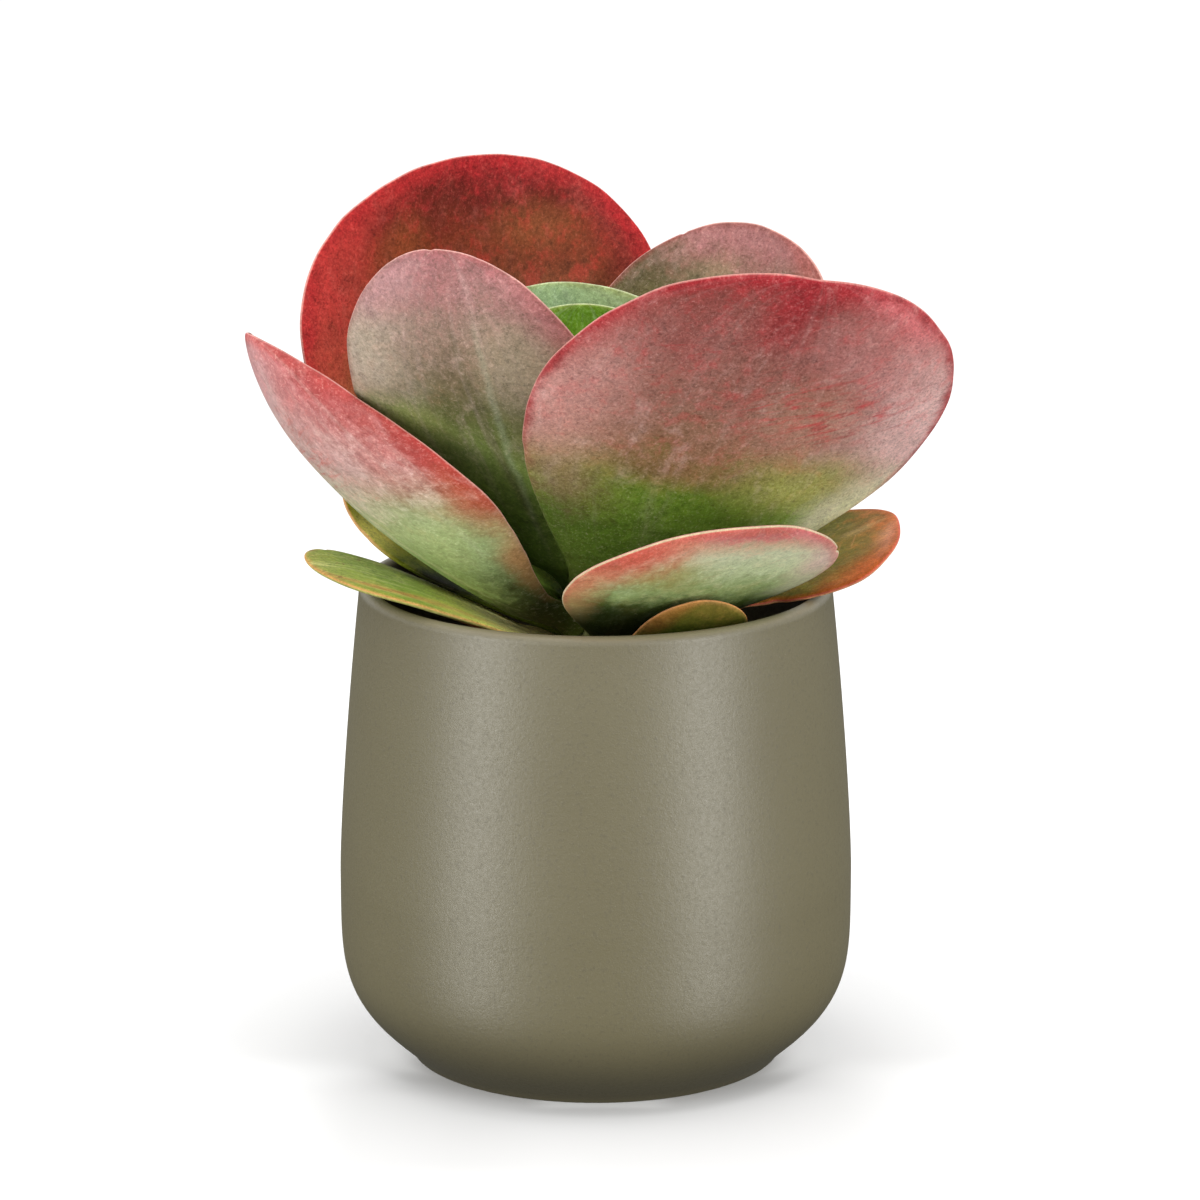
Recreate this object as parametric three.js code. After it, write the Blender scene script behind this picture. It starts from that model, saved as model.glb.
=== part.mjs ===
// A paddle plant in a bellied ceramic pot.
// Millimetres and degrees, +Z up. The origin is the centre of the pot's foot.
// Azimuth is measured in plan from +X towards +Y, so the plant's front is -90 degrees.
import * as THREE from 'three';

// ---- Pot
const POT_HEIGHT = 133;
const RIM_RADIUS = 64.5;
const BELLY_RADIUS = 70.6;
const BELLY_HEIGHT = 52;
const FOOT_RADIUS = 51.2;
const FOOT_EDGE = 1.4;
const WALL = 5;
const FLOOR = 7;
const LOWER_POWER = 4.75;
const LOWER_ROUND = 1.46;
const UPPER_POWER = 1.38;
const POT_SIDES = 56;

// ---- Soil
const SOIL_TOP = 104;
const SOIL_DIP = 2;
const HOLE_DEPTH = 30;
const SOIL_SIDES = 40;

// ---- Stem
const STEM_RADIUS = 9;
const STEM_TOP = 146;
const STEM_SIDES = 28;

// ---- Leaves
const GAP = 0.3;
const EDGE_THICKNESS = 1.3;
const FOOT_THICKENING = 1.15;
const TIP_THINNING = 0.55;
const LEAF_ROWS = 11;
const RIM_BULGE = 0.5;

const RADIANS = Math.PI / 180;

function mix(a, b, share) {
  return a + (b - a) * share;
}

// ---- Pot and soil profiles

// Outer radius of the pot at a height: a rounded belly on a narrower foot, drawn in towards the rim.
function potRadius(z) {
  if (z < BELLY_HEIGHT) {
    const swell = (1 - (1 - z / BELLY_HEIGHT) ** LOWER_POWER) ** LOWER_ROUND;
    return mix(FOOT_RADIUS, BELLY_RADIUS, swell);
  }
  const rise = (z - BELLY_HEIGHT) / (POT_HEIGHT - BELLY_HEIGHT);
  return mix(BELLY_RADIUS, RIM_RADIUS, rise ** UPPER_POWER);
}

function potGeometry() {
  const lip = WALL / 2;
  const lipHeight = POT_HEIGHT - lip;
  const points = [new THREE.Vector2(0, 0), new THREE.Vector2(FOOT_RADIUS - FOOT_EDGE, 0)];
  const outerHeights = [1, 3, 6.5, 11, 17, 25, 37, BELLY_HEIGHT, 66, 80, 94, 107, 119];
  for (const z of outerHeights) {
    points.push(new THREE.Vector2(potRadius(z), z));
  }
  const lipCentre = potRadius(lipHeight) - lip;
  for (let i = 0; i <= 6; i += 1) {
    const turn = Math.PI * i / 6;
    points.push(new THREE.Vector2(lipCentre + lip * Math.cos(turn), lipHeight + lip * Math.sin(turn)));
  }
  const innerHeights = [112, 90, 66, BELLY_HEIGHT, 37, 25, 16, 11];
  for (const z of innerHeights) {
    points.push(new THREE.Vector2(potRadius(z) - WALL, z));
  }
  points.push(new THREE.Vector2(potRadius(FLOOR) - WALL - 4, FLOOR));
  points.push(new THREE.Vector2(0, FLOOR));
  return new THREE.LatheGeometry(points, POT_SIDES);
}

// The filling follows the inner wall, sinks a little from the stem to the wall,
// and has a plain hole for the stem.
function soilGeometry() {
  const bottom = FLOOR + GAP;
  const points = [new THREE.Vector2(0, bottom), new THREE.Vector2(potRadius(FLOOR) - WALL - 4.6, bottom)];
  const wallHeights = [16, 25, 37, BELLY_HEIGHT, 66, 90];
  for (const z of wallHeights) {
    points.push(new THREE.Vector2(potRadius(z) - WALL - GAP - 0.4, z));
  }
  const wall = potRadius(SOIL_TOP) - WALL - GAP - 0.4;
  points.push(new THREE.Vector2(wall, SOIL_TOP - SOIL_DIP));
  points.push(new THREE.Vector2(mix(wall, STEM_RADIUS, 0.35), SOIL_TOP - SOIL_DIP * 0.6));
  points.push(new THREE.Vector2(mix(wall, STEM_RADIUS, 0.7), SOIL_TOP));
  points.push(new THREE.Vector2(STEM_RADIUS + GAP, SOIL_TOP));
  points.push(new THREE.Vector2(STEM_RADIUS + GAP, SOIL_TOP - HOLE_DEPTH));
  points.push(new THREE.Vector2(0, SOIL_TOP - HOLE_DEPTH));
  return new THREE.LatheGeometry(points, SOIL_SIDES);
}

// ---- Stem

// Stem radius at a height: straight in the soil, then drawn in to a domed growing tip.
function stemRadius(z) {
  const rise = Math.min(1, Math.max(0, (z - SOIL_TOP) / (STEM_TOP - SOIL_TOP)));
  return STEM_RADIUS * Math.sqrt(1 - rise ** 3);
}

function stemGeometry() {
  const bottom = SOIL_TOP - HOLE_DEPTH + GAP;
  const points = [new THREE.Vector2(0, bottom), new THREE.Vector2(STEM_RADIUS, bottom)];
  for (let i = 0; i < 14; i += 1) {
    const z = mix(SOIL_TOP, STEM_TOP, Math.sin(Math.PI / 2 * i / 14));
    points.push(new THREE.Vector2(stemRadius(z), z));
  }
  points.push(new THREE.Vector2(0, STEM_TOP));
  return new THREE.LatheGeometry(points, STEM_SIDES);
}

// ---- Leaves
//
// A leaf's midrib is a curve in the upright plane of its azimuth. It starts on the stem at
// `height`, rises at `slope` over its chord `length`, and leaves and ends at its own two slopes.
// The blade is an arc across the midrib, cupped towards the stem's top side, rolled about
// the midrib and as wide as the outline says. `along` runs from 0 at the stem to 1 at the tip,
// and `across` from -1 to 1.

// Half width as a share of the widest: a narrow foot, a paddle-shaped swell and a round tip.
function outline(leaf, along) {
  const foot = leaf.foot / leaf.width;
  if (along < leaf.widest) {
    const swell = Math.sin(Math.PI / 2 * along / leaf.widest) ** leaf.waist;
    return mix(foot, 1, swell);
  }
  const closing = ((along - leaf.widest) / (1 - leaf.widest)) ** leaf.tipRound;
  return Math.sqrt(Math.max(0, 1 - closing));
}

function polar(length, angle) {
  return new THREE.Vector2(length * Math.cos(angle * RADIANS), length * Math.sin(angle * RADIANS));
}

// The midrib as a cubic curve: x is the distance from the stem's axis, y is the height.
function midrib(leaf) {
  const start = new THREE.Vector2(stemRadius(leaf.height) + GAP, leaf.height);
  const end = start.clone().add(polar(leaf.length, leaf.slope));
  const first = start.clone().add(polar(leaf.length / 3, leaf.startSlope));
  const second = end.clone().sub(polar(leaf.length / 3, leaf.endSlope));
  return new THREE.CubicBezierCurve(start, first, second, end);
}

// A point of the blade's middle surface, with its normal on the side of the stem's top.
function bladePoint(leaf, curve, along, across) {
  const outward = new THREE.Vector3(Math.cos(leaf.azimuth * RADIANS), Math.sin(leaf.azimuth * RADIANS), 0);
  const sideways = new THREE.Vector3(-outward.y, outward.x, 0);
  const upward = new THREE.Vector3(0, 0, 1);
  const place = curve.getPoint(along);
  const run = curve.getTangent(along);
  const middle = outward.clone().multiplyScalar(place.x).addScaledVector(upward, place.y);
  middle.addScaledVector(sideways, leaf.bend * along ** 2);
  const level = outward.clone().multiplyScalar(-run.y).addScaledVector(upward, run.x);
  const roll = mix(leaf.footRoll, leaf.tipRoll, along) * RADIANS;
  const wide = sideways.clone().multiplyScalar(Math.cos(roll)).addScaledVector(level, Math.sin(roll));
  const high = level.clone().multiplyScalar(Math.cos(roll)).addScaledVector(sideways, -Math.sin(roll));
  const uneven = 1 + leaf.uneven * Math.sign(across) * Math.min(1, along / 0.3);
  const half = leaf.width / 2 * outline(leaf, along) * uneven;
  const cup = mix(leaf.footCup, leaf.tipCup, along) * RADIANS;
  const radius = half / cup;
  const turn = across * cup;
  const point = middle.addScaledVector(wide, radius * Math.sin(turn));
  point.addScaledVector(high, radius * (1 - Math.cos(turn)));
  const normal = high.clone().multiplyScalar(Math.cos(turn)).addScaledVector(wide, -Math.sin(turn));
  const edgeward = wide.clone().multiplyScalar(Math.cos(turn)).addScaledVector(high, Math.sin(turn));
  return { point, normal, edgeward, outward, sideways };
}

function halfThickness(leaf, along, across) {
  const middle = leaf.thickness * (FOOT_THICKENING - TIP_THINNING * along);
  return mix(middle, EDGE_THICKNESS, Math.abs(across) ** 3) / 2;
}

// One closed section of the leaf: the upper face from edge to edge, a rounded rim,
// the lower face back, and the other rim.
function sectionPoints(leaf, curve, along, cells) {
  const upper = [];
  const lower = [];
  for (let i = 0; i <= cells; i += 1) {
    const across = 2 * i / cells - 1;
    const blade = bladePoint(leaf, curve, along, across);
    const half = halfThickness(leaf, along, across);
    upper.push(blade.point.clone().addScaledVector(blade.normal, half));
    lower.push(blade.point.clone().addScaledVector(blade.normal, -half));
  }
  const left = bladePoint(leaf, curve, along, -1);
  const right = bladePoint(leaf, curve, along, 1);
  const leftRim = left.point.clone().addScaledVector(left.edgeward, -RIM_BULGE);
  const rightRim = right.point.clone().addScaledVector(right.edgeward, RIM_BULGE);
  return [...upper, rightRim, ...lower.reverse(), leftRim];
}

// Moves a point of the foot along the leaf's own azimuth until it lies just off the stem.
function seatOnStem(point, blade) {
  const offside = point.dot(blade.sideways);
  const reach = stemRadius(point.z) + GAP;
  const distance = Math.sqrt(Math.max(0, reach ** 2 - offside ** 2));
  const seated = blade.outward.clone().multiplyScalar(distance).addScaledVector(blade.sideways, offside);
  return seated.setZ(point.z);
}

function leafGeometry(leaf) {
  const curve = midrib(leaf);
  const cells = leaf.cells;
  const around = 2 * cells + 4;
  const sections = [];
  for (let row = 0; row < LEAF_ROWS; row += 1) {
    const along = Math.sin(Math.PI / 2 * row / LEAF_ROWS);
    sections.push(sectionPoints(leaf, curve, along, cells));
  }
  const foot = bladePoint(leaf, curve, 0, 0);
  sections[0] = sections[0].map((point) => seatOnStem(point, foot));
  const vertices = sections.flat();
  const triangles = [];
  const at = (row, place) => row * around + (place + around) % around;

  // A quad is split from edge towards midrib, and alike on both faces.
  function quad(a, b, c, d, flip) {
    if (flip) {
      triangles.push([a, b, d], [b, c, d]);
    } else {
      triangles.push([a, b, c], [a, c, d]);
    }
  }

  for (let row = 0; row < LEAF_ROWS - 1; row += 1) {
    for (let place = 0; place < around; place += 1) {
      const onRight = place >= cells / 2 && place < cells + 2 + cells / 2;
      quad(at(row, place), at(row, place + 1), at(row + 1, place + 1), at(row + 1, place), onRight);
    }
  }

  // The foot is closed by strips from the upper face to the lower one.
  const lowerOf = (place) => 2 * cells + 2 - place;
  for (let place = 0; place < cells; place += 1) {
    quad(at(0, place), at(0, lowerOf(place)), at(0, lowerOf(place + 1)), at(0, place + 1), false);
  }
  triangles.push([at(0, cells), at(0, lowerOf(cells)), at(0, cells + 1)]);
  triangles.push([at(0, lowerOf(0)), at(0, 0), at(0, around - 1)]);

  // The tip is closed by fans to three points: one on each face and one on the rim.
  const last = LEAF_ROWS - 1;
  const tip = bladePoint(leaf, curve, 1, 0);
  const run = curve.getTangent(1);
  const tipHalf = EDGE_THICKNESS / 2;
  const upperTip = vertices.push(tip.point.clone().addScaledVector(tip.normal, tipHalf)) - 1;
  const lowerTip = vertices.push(tip.point.clone().addScaledVector(tip.normal, -tipHalf)) - 1;
  const forward = tip.outward.clone().multiplyScalar(run.x).setZ(run.y);
  const rimTip = vertices.push(tip.point.clone().addScaledVector(forward, RIM_BULGE)) - 1;
  for (let place = 0; place < cells; place += 1) {
    triangles.push([at(last, place), at(last, place + 1), upperTip]);
    triangles.push([at(last, lowerOf(place + 1)), at(last, lowerOf(place)), lowerTip]);
  }
  quad(at(last, cells), at(last, cells + 1), rimTip, upperTip, true);
  quad(at(last, cells + 1), at(last, lowerOf(cells)), lowerTip, rimTip, false);
  quad(at(last, lowerOf(0)), at(last, around - 1), rimTip, lowerTip, true);
  quad(at(last, around - 1), at(last, 0), upperTip, rimTip, false);

  const geometry = new THREE.BufferGeometry();
  geometry.setFromPoints(vertices);
  // The sections run clockwise seen from the tip, so each triangle is turned to face out.
  geometry.setIndex(triangles.flatMap(([a, b, c]) => [a, c, b]));
  geometry.computeVertexNormals();
  return geometry;
}

// ---- The leaves, from the oldest low ones to the bud
const leaves = [
  {
    name: 'leaf_old_dark', azimuth: -146, height: 107.5, length: 50,
    slope: 18, startSlope: 20, endSlope: 10, bend: 0, width: 40, foot: 13,
    widest: 0.62, tipRound: 2.3, waist: 1.3, uneven: 0,
    footCup: 37.5, tipCup: 14, footRoll: 0, tipRoll: 0,
    thickness: 2.8, cells: 6, colour: 0x6a1410,
  },
  {
    name: 'leaf_over_left_rim', azimuth: -158.5, height: 112.5, length: 76.5,
    slope: 23, startSlope: 26.5, endSlope: 12, bend: -7.5, width: 50.5, foot: 12.5,
    widest: 0.77, tipRound: 2.5, waist: 0.7, uneven: 0.16,
    footCup: 12.5, tipCup: 4, footRoll: -2, tipRoll: -3,
    thickness: 3.4, cells: 8, colour: 0x93a04a,
  },
  {
    name: 'leaf_low_right_back', azimuth: 30, height: 109.2, length: 55.5,
    slope: 28.5, startSlope: 21, endSlope: 27, bend: 0, width: 42, foot: 12.5,
    widest: 0.62, tipRound: 2.3, waist: 1.4, uneven: 0,
    footCup: 28, tipCup: 12.5, footRoll: 0, tipRoll: 4.5,
    thickness: 3, cells: 6, colour: 0x7d8c46,
  },
  {
    name: 'leaf_small_front_right', azimuth: -54, height: 109.9, length: 58,
    slope: 31, startSlope: 18, endSlope: 58, bend: -4.5, width: 32.5, foot: 13,
    widest: 0.61, tipRound: 2.25, waist: 1.35, uneven: 0,
    footCup: 36.5, tipCup: 6.5, footRoll: 4, tipRoll: -17,
    thickness: 3, cells: 6, colour: 0x7d8c46,
  },
  {
    name: 'leaf_low_back', azimuth: 109.5, height: 110.6, length: 62,
    slope: 27.5, startSlope: 23.5, endSlope: 30.5, bend: 0, width: 46, foot: 13,
    widest: 0.62, tipRound: 2.3, waist: 1.45, uneven: 0,
    footCup: 41, tipCup: 14, footRoll: -1.5, tipRoll: 0,
    thickness: 3, cells: 6, colour: 0x7d8c46,
  },
  {
    name: 'leaf_low_back_left', azimuth: 147, height: 116.4, length: 79.5,
    slope: 34, startSlope: 25, endSlope: 49, bend: -0.5, width: 66.5, foot: 10.5,
    widest: 0.59, tipRound: 2.25, waist: 1.35, uneven: 0,
    footCup: 24.5, tipCup: 12.5, footRoll: -2, tipRoll: -4.5,
    thickness: 3.6, cells: 8, colour: 0x6f7a2c,
  },
  {
    name: 'leaf_low_front_right', azimuth: -61, height: 114.8, length: 87.5,
    slope: 34.5, startSlope: 28, endSlope: 48, bend: 4, width: 76.5, foot: 12.5,
    widest: 0.68, tipRound: 1.7, waist: 1.55, uneven: -0.06,
    footCup: 15, tipCup: 4, footRoll: -2.5, tipRoll: -5,
    thickness: 3.6, cells: 8, colour: 0xa7b08c,
  },
  {
    name: 'leaf_left_folded', azimuth: -148.5, height: 118.8, length: 108,
    slope: 49.5, startSlope: 29, endSlope: 104, bend: -51, width: 79.5, foot: 13,
    widest: 0.65, tipRound: 2.5, waist: 1.8, uneven: 0.2,
    footCup: 53, tipCup: 52, footRoll: 9, tipRoll: -13,
    thickness: 3.6, cells: 8, colour: 0xc08a86,
  },
  {
    name: 'leaf_over_right_rim', azimuth: 10, height: 118.4, length: 78.5,
    slope: 24.5, startSlope: 34.5, endSlope: 36, bend: -14, width: 54.5, foot: 12.5,
    widest: 0.75, tipRound: 1.7, waist: 2.5, uneven: -0.2,
    footCup: 10, tipCup: 4, footRoll: 18, tipRoll: 2.5,
    thickness: 3.6, cells: 8, colour: 0x8a5a2a,
  },
  {
    name: 'leaf_back_left', azimuth: 127, height: 122.5, length: 131,
    slope: 65, startSlope: 32.5, endSlope: 89, bend: -4, width: 126.5, foot: 13,
    widest: 0.6, tipRound: 2.35, waist: 1.3, uneven: 0.01,
    footCup: 30.5, tipCup: 4, footRoll: -1, tipRoll: -0.5,
    thickness: 3.6, cells: 8, colour: 0x9a2b30,
  },
  {
    name: 'leaf_front_right', azimuth: -53, height: 120.5, length: 140,
    slope: 52, startSlope: 42.5, endSlope: 54.5, bend: 0, width: 119.5, foot: 13.5,
    widest: 0.62, tipRound: 1.95, waist: 1.1, uneven: 0.02,
    footCup: 26.5, tipCup: 12.5, footRoll: -17.5, tipRoll: -18,
    thickness: 3.6, cells: 8, colour: 0xb4565a,
  },
  {
    name: 'leaf_front_left', azimuth: -123.5, height: 127.3, length: 124,
    slope: 60.5, startSlope: 54, endSlope: 95, bend: -1.5, width: 78.5, foot: 13,
    widest: 0.56, tipRound: 1.8, waist: 1.2, uneven: 0.02,
    footCup: 32, tipCup: 13, footRoll: 3.5, tipRoll: 14.5,
    thickness: 3.6, cells: 8, colour: 0x9a8a80,
  },
  {
    name: 'leaf_back_right', azimuth: 53, height: 126.4, length: 112.5,
    slope: 58.5, startSlope: 51, endSlope: 74, bend: -3.5, width: 85, foot: 13,
    widest: 0.6, tipRound: 2.05, waist: 1.15, uneven: -0.01,
    footCup: 38, tipCup: 14, footRoll: 0, tipRoll: 2,
    thickness: 3.6, cells: 8, colour: 0xa8646a,
  },
  {
    name: 'leaf_centre_back', azimuth: 112, height: 131.1, length: 82.5,
    slope: 73.5, startSlope: 54, endSlope: 89.5, bend: 0.5, width: 78.5, foot: 13,
    widest: 0.66, tipRound: 2.4, waist: 1.3, uneven: -0.03,
    footCup: 38, tipCup: 15, footRoll: 0.5, tipRoll: -7,
    thickness: 3.6, cells: 8, colour: 0x8fae84,
  },
  {
    name: 'leaf_centre_front', azimuth: -62.5, height: 131.6, length: 60,
    slope: 70, startSlope: 58.5, endSlope: 82, bend: 0, width: 46, foot: 13,
    widest: 0.62, tipRound: 2.3, waist: 1.3, uneven: 0,
    footCup: 39.5, tipCup: 14, footRoll: -1, tipRoll: -0.5,
    thickness: 3, cells: 6, colour: 0x8fae84,
  },
  {
    name: 'leaf_centre_inner', azimuth: 79.5, height: 136.1, length: 71,
    slope: 80, startSlope: 67, endSlope: 82, bend: 6, width: 57.5, foot: 11,
    widest: 0.64, tipRound: 2.35, waist: 1.3, uneven: 0,
    footCup: 38.5, tipCup: 13.5, footRoll: 0.5, tipRoll: 2,
    thickness: 3, cells: 8, colour: 0x6f9a3c,
  },
  {
    name: 'leaf_inner_front', azimuth: -114, height: 136, length: 48,
    slope: 77, startSlope: 67.5, endSlope: 84, bend: -0.5, width: 36, foot: 11,
    widest: 0.62, tipRound: 2.3, waist: 1.3, uneven: 0,
    footCup: 40, tipCup: 14.5, footRoll: 1, tipRoll: 1,
    thickness: 2.8, cells: 6, colour: 0x6f9a3c,
  },
  {
    name: 'leaf_bud_back', azimuth: 130, height: 140.6, length: 28,
    slope: 93, startSlope: 84, endSlope: 100, bend: 0, width: 19, foot: 9,
    widest: 0.62, tipRound: 2.3, waist: 1.3, uneven: 0,
    footCup: 39.5, tipCup: 14, footRoll: -1, tipRoll: 0,
    thickness: 2.4, cells: 6, colour: 0x86a85a,
  },
  {
    name: 'leaf_bud_front', azimuth: -52, height: 140.2, length: 25,
    slope: 92, startSlope: 84, endSlope: 98, bend: 0, width: 17, foot: 9,
    widest: 0.62, tipRound: 2.3, waist: 1.3, uneven: 0,
    footCup: 39, tipCup: 14, footRoll: -0.5, tipRoll: 0,
    thickness: 2.4, cells: 6, colour: 0x86a85a,
  },
];

// ---- Assembly

function piece(name, geometry, colour, roughness) {
  const material = new THREE.MeshStandardMaterial({ color: colour, roughness, metalness: 0 });
  const mesh = new THREE.Mesh(geometry, material);
  mesh.name = name;
  return mesh;
}

const plant = new THREE.Group();
for (const leaf of leaves) {
  plant.add(piece(leaf.name, leafGeometry(leaf), leaf.colour, 0.55));
}

// Lathe profiles turn about the Y axis, so this group stands them up on Z.
const turned = new THREE.Group();
turned.rotation.x = Math.PI / 2;
turned.add(piece('pot', potGeometry(), 0x8a8468, 0.7));
turned.add(piece('soil', soilGeometry(), 0x3a2a1e, 0.95));
turned.add(piece('stem', stemGeometry(), 0x6d7a45, 0.6));

const model = new THREE.Group();
model.add(turned, plant);

export default model;
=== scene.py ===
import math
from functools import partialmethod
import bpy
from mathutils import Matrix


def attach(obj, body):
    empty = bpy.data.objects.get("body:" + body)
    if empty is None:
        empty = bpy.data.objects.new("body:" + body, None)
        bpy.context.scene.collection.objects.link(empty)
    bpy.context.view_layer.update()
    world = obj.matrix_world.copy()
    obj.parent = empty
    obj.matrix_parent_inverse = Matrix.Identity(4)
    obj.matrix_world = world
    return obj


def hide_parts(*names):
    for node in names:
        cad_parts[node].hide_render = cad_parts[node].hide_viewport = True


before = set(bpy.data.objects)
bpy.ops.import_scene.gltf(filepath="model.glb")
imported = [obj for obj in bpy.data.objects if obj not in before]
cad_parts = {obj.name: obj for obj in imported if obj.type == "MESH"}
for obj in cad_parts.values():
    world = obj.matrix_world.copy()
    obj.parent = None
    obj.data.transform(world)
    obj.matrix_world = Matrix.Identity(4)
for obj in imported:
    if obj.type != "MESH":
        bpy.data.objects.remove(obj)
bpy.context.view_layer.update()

# A paddle plant in a bellied ceramic pot.
# Sizes are written in millimetres and degrees and turned into metres where a mesh is made.
# A leaf's azimuth is measured in plan from +X towards +Y, so the plant's front is -90 degrees.
from types import SimpleNamespace

import bmesh
import bpy
from mathutils import Vector, noise

scene = bpy.context.scene
MM = 0.001
DEGREE = math.pi / 180

# ---- Sizes of the pot, the soil and the stem
POT_HEIGHT = 133
RIM_RADIUS = 64.5
BELLY_RADIUS = 70.6
BELLY_HEIGHT = 52
FOOT_RADIUS = 51.2
FOOT_EDGE = 1.4
WALL = 5
FLOOR = 7
INNER_ROUND_WIDTH = 4
INNER_ROUND_HEIGHT = 3
FOOT_RECESS = 0.6
LOWER_POWER = 4.75
LOWER_ROUND = 1.46
UPPER_POWER = 1.38
POT_SIDES = 192

SOIL_TOP = 104
SOIL_DIP = 2
SOIL_CLEARANCE = 0.7

STEM_RADIUS = 9
STEM_TOP = 146
STEM_FOOT = 74.3
STEM_HOLE_DEPTH = 30
SCAR_DEPTH = 0.22
SCAR_SPACING = 4.6
GAP = 0.3

# ---- Sizes that all leaves share
EDGE_THICKNESS = 1.3
FOOT_THICKENING = 1.15
TIP_THINNING = 0.55
EDGE_ROUND = 0.6
LEAF_ROWS = 84
LEAF_AROUND = 112
# Shares of the length: the foot is fitted to the stem up to the first, and unevenness sets in
# up to the second.
SEAT_END = 0.142
FADE_END = 0.3
# The margin's slow waver and its nicks: how high they are and how deep they reach into the blade.
WAVER_HEIGHT = 1.6
WAVER_DEPTH = 7
NICK_START = 0.68
NICK_HEIGHT = 9
NICK_DEPTH = 2
# Each leaf lies this much further on in the noise than the last one.
NOISE_STEP = 37
RIPPLE_SHARE = 0.012
LARGEST_RIPPLE = 1.4
MERGE_DISTANCE = 0.000004


# ---- Node helpers

def sign(operation, turned=False):
    """What a sign between two amounts does."""
    def method(self, other):
        values = (other, self) if turned else (self, other)
        return self.board.math(operation, *values)
    return method


class Amount:
    """An output of a node, on which sums can be written."""

    def __init__(self, board, socket):
        self.board = board
        self.socket = socket

    __add__ = __radd__ = sign("ADD")
    __sub__ = sign("SUBTRACT")
    __rsub__ = sign("SUBTRACT", turned=True)
    __mul__ = __rmul__ = sign("MULTIPLY")
    __truediv__ = sign("DIVIDE")
    __pow__ = sign("POWER")

    def __neg__(self):
        return self * -1

    def out(self, name):
        """Another output of the same node."""
        return Amount(self.board, self.socket.node.outputs[name])


class Board:
    """A node tree that is being laid out."""

    def __init__(self, tree):
        self.tree = tree

    def node(self, kind, settings=None, sockets=None, out=0):
        """Adds a node. Its settings go in first, then the values or links of its sockets."""
        made = self.tree.nodes.new(kind)
        for name, setting in (settings or {}).items():
            if name == "stops":
                self.fill_ramp(made.color_ramp, setting)
            else:
                setattr(made, name, setting)
        for name, value in (sockets or {}).items():
            if isinstance(value, Amount):
                self.tree.links.new(value.socket, made.inputs[name])
            else:
                made.inputs[name].default_value = value
        return Amount(self, made.outputs[out]) if made.outputs else made

    def fill_ramp(self, ramp, stops):
        while len(ramp.elements) < len(stops):
            ramp.elements.new(0.5)
        for element, (place, colour) in zip(ramp.elements, stops):
            element.position = place
            element.color = colour

    def math(self, operation, *values):
        sockets = dict(enumerate(values))
        return self.node("ShaderNodeMath", {"operation": operation}, sockets)

    sine = partialmethod(math, "SINE")
    cosine = partialmethod(math, "COSINE")
    size = partialmethod(math, "ABSOLUTE")
    smaller = partialmethod(math, "MINIMUM")
    larger = partialmethod(math, "MAXIMUM")

    def root(self, value):
        return self.math("SQRT", self.larger(value, 0))

    def blend(self, a, b, share):
        """A number between a and b."""
        sockets = {0: share, 2: a, 3: b}
        return self.node("ShaderNodeMix", {"data_type": "FLOAT", "clamp_factor": False}, sockets)

    def ease(self, value, low, high):
        """0 below low, 1 above high, and a smooth rise between them."""
        sockets = {"Value": value, "From Min": low, "From Max": high}
        return self.node("ShaderNodeMapRange", {"interpolation_type": "SMOOTHSTEP"}, sockets)

    def paint(self, under, over, share, how="MIX"):
        """One colour laid over another."""
        settings = {"data_type": "RGBA", "blend_type": how}
        return self.node("ShaderNodeMix", settings, {0: share, 6: under, 7: over}, out=2)

    def noise(self, place, scale, detail=2.0, rough=0.5, warp=0.0):
        sockets = {"Vector": place, "Scale": scale, "Detail": detail}
        sockets.update({"Roughness": rough, "Distortion": warp})
        return self.node("ShaderNodeTexNoise", {"noise_dimensions": "3D"}, sockets)

    def vector(self, x, y, z):
        return self.node("ShaderNodeCombineXYZ", None, {0: x, 1: y, 2: z})

    def stretch(self, place, x, y, z):
        """A place with its three parts scaled."""
        return self.node("ShaderNodeVectorMath", {"operation": "MULTIPLY"}, {0: place, 1: (x, y, z)})

    def parts(self, place):
        """The x, y and z of a place."""
        made = self.node("ShaderNodeSeparateXYZ", None, {0: place})
        return made, made.out("Y"), made.out("Z")

    def place(self):
        """A point's place in its object, in metres."""
        return self.node("ShaderNodeTexCoord").out("Object")


def srgb(red, green, blue):
    """A colour given as it looks on screen, 0 to 255."""
    linear = []
    for part in (red, green, blue):
        share = part / 255
        linear.append(share / 12.92 if share <= 0.04045 else ((share + 0.055) / 1.055) ** 2.4)
    return (*linear, 1.0)


def new_material(name):
    """An empty material and its board."""
    material = bpy.data.materials.new(name)
    material.use_nodes = True
    material.node_tree.nodes.clear()
    return material, Board(material.node_tree)


def close_material(board, sockets):
    """Gives the material a principled surface and its output."""
    surface = board.node("ShaderNodeBsdfPrincipled", None, sockets)
    board.node("ShaderNodeOutputMaterial", None, {"Surface": surface})


def bump(board, height, strength, depth):
    sockets = {"Height": height, "Strength": strength, "Distance": depth}
    return board.node("ShaderNodeBump", None, sockets)


def new_tree(name, inputs, output):
    """An empty geometry tree with its sockets, its board and its input node."""
    tree = bpy.data.node_groups.new(name, "GeometryNodeTree")
    for label, kind in inputs:
        tree.interface.new_socket(name=label, in_out="INPUT", socket_type="NodeSocket" + kind)
    tree.interface.new_socket(name=output, in_out="OUTPUT", socket_type="NodeSocketGeometry")
    board = Board(tree)
    return tree, board, board.node("NodeGroupInput")


def close_tree(board, shape, skin, output):
    """Smooths the shape, gives it its material and hands it out."""
    shape = board.node("GeometryNodeSetShadeSmooth", None, {"Geometry": shape})
    shape = board.node("GeometryNodeSetMaterial", None, {"Geometry": shape, "Material": skin})
    board.node("NodeGroupOutput", None, {output: shape})


def put(name, data):
    """A new object in the scene."""
    made = bpy.data.objects.new(name, data)
    scene.collection.objects.link(made)
    return made


# ---- Leaf geometry

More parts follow.
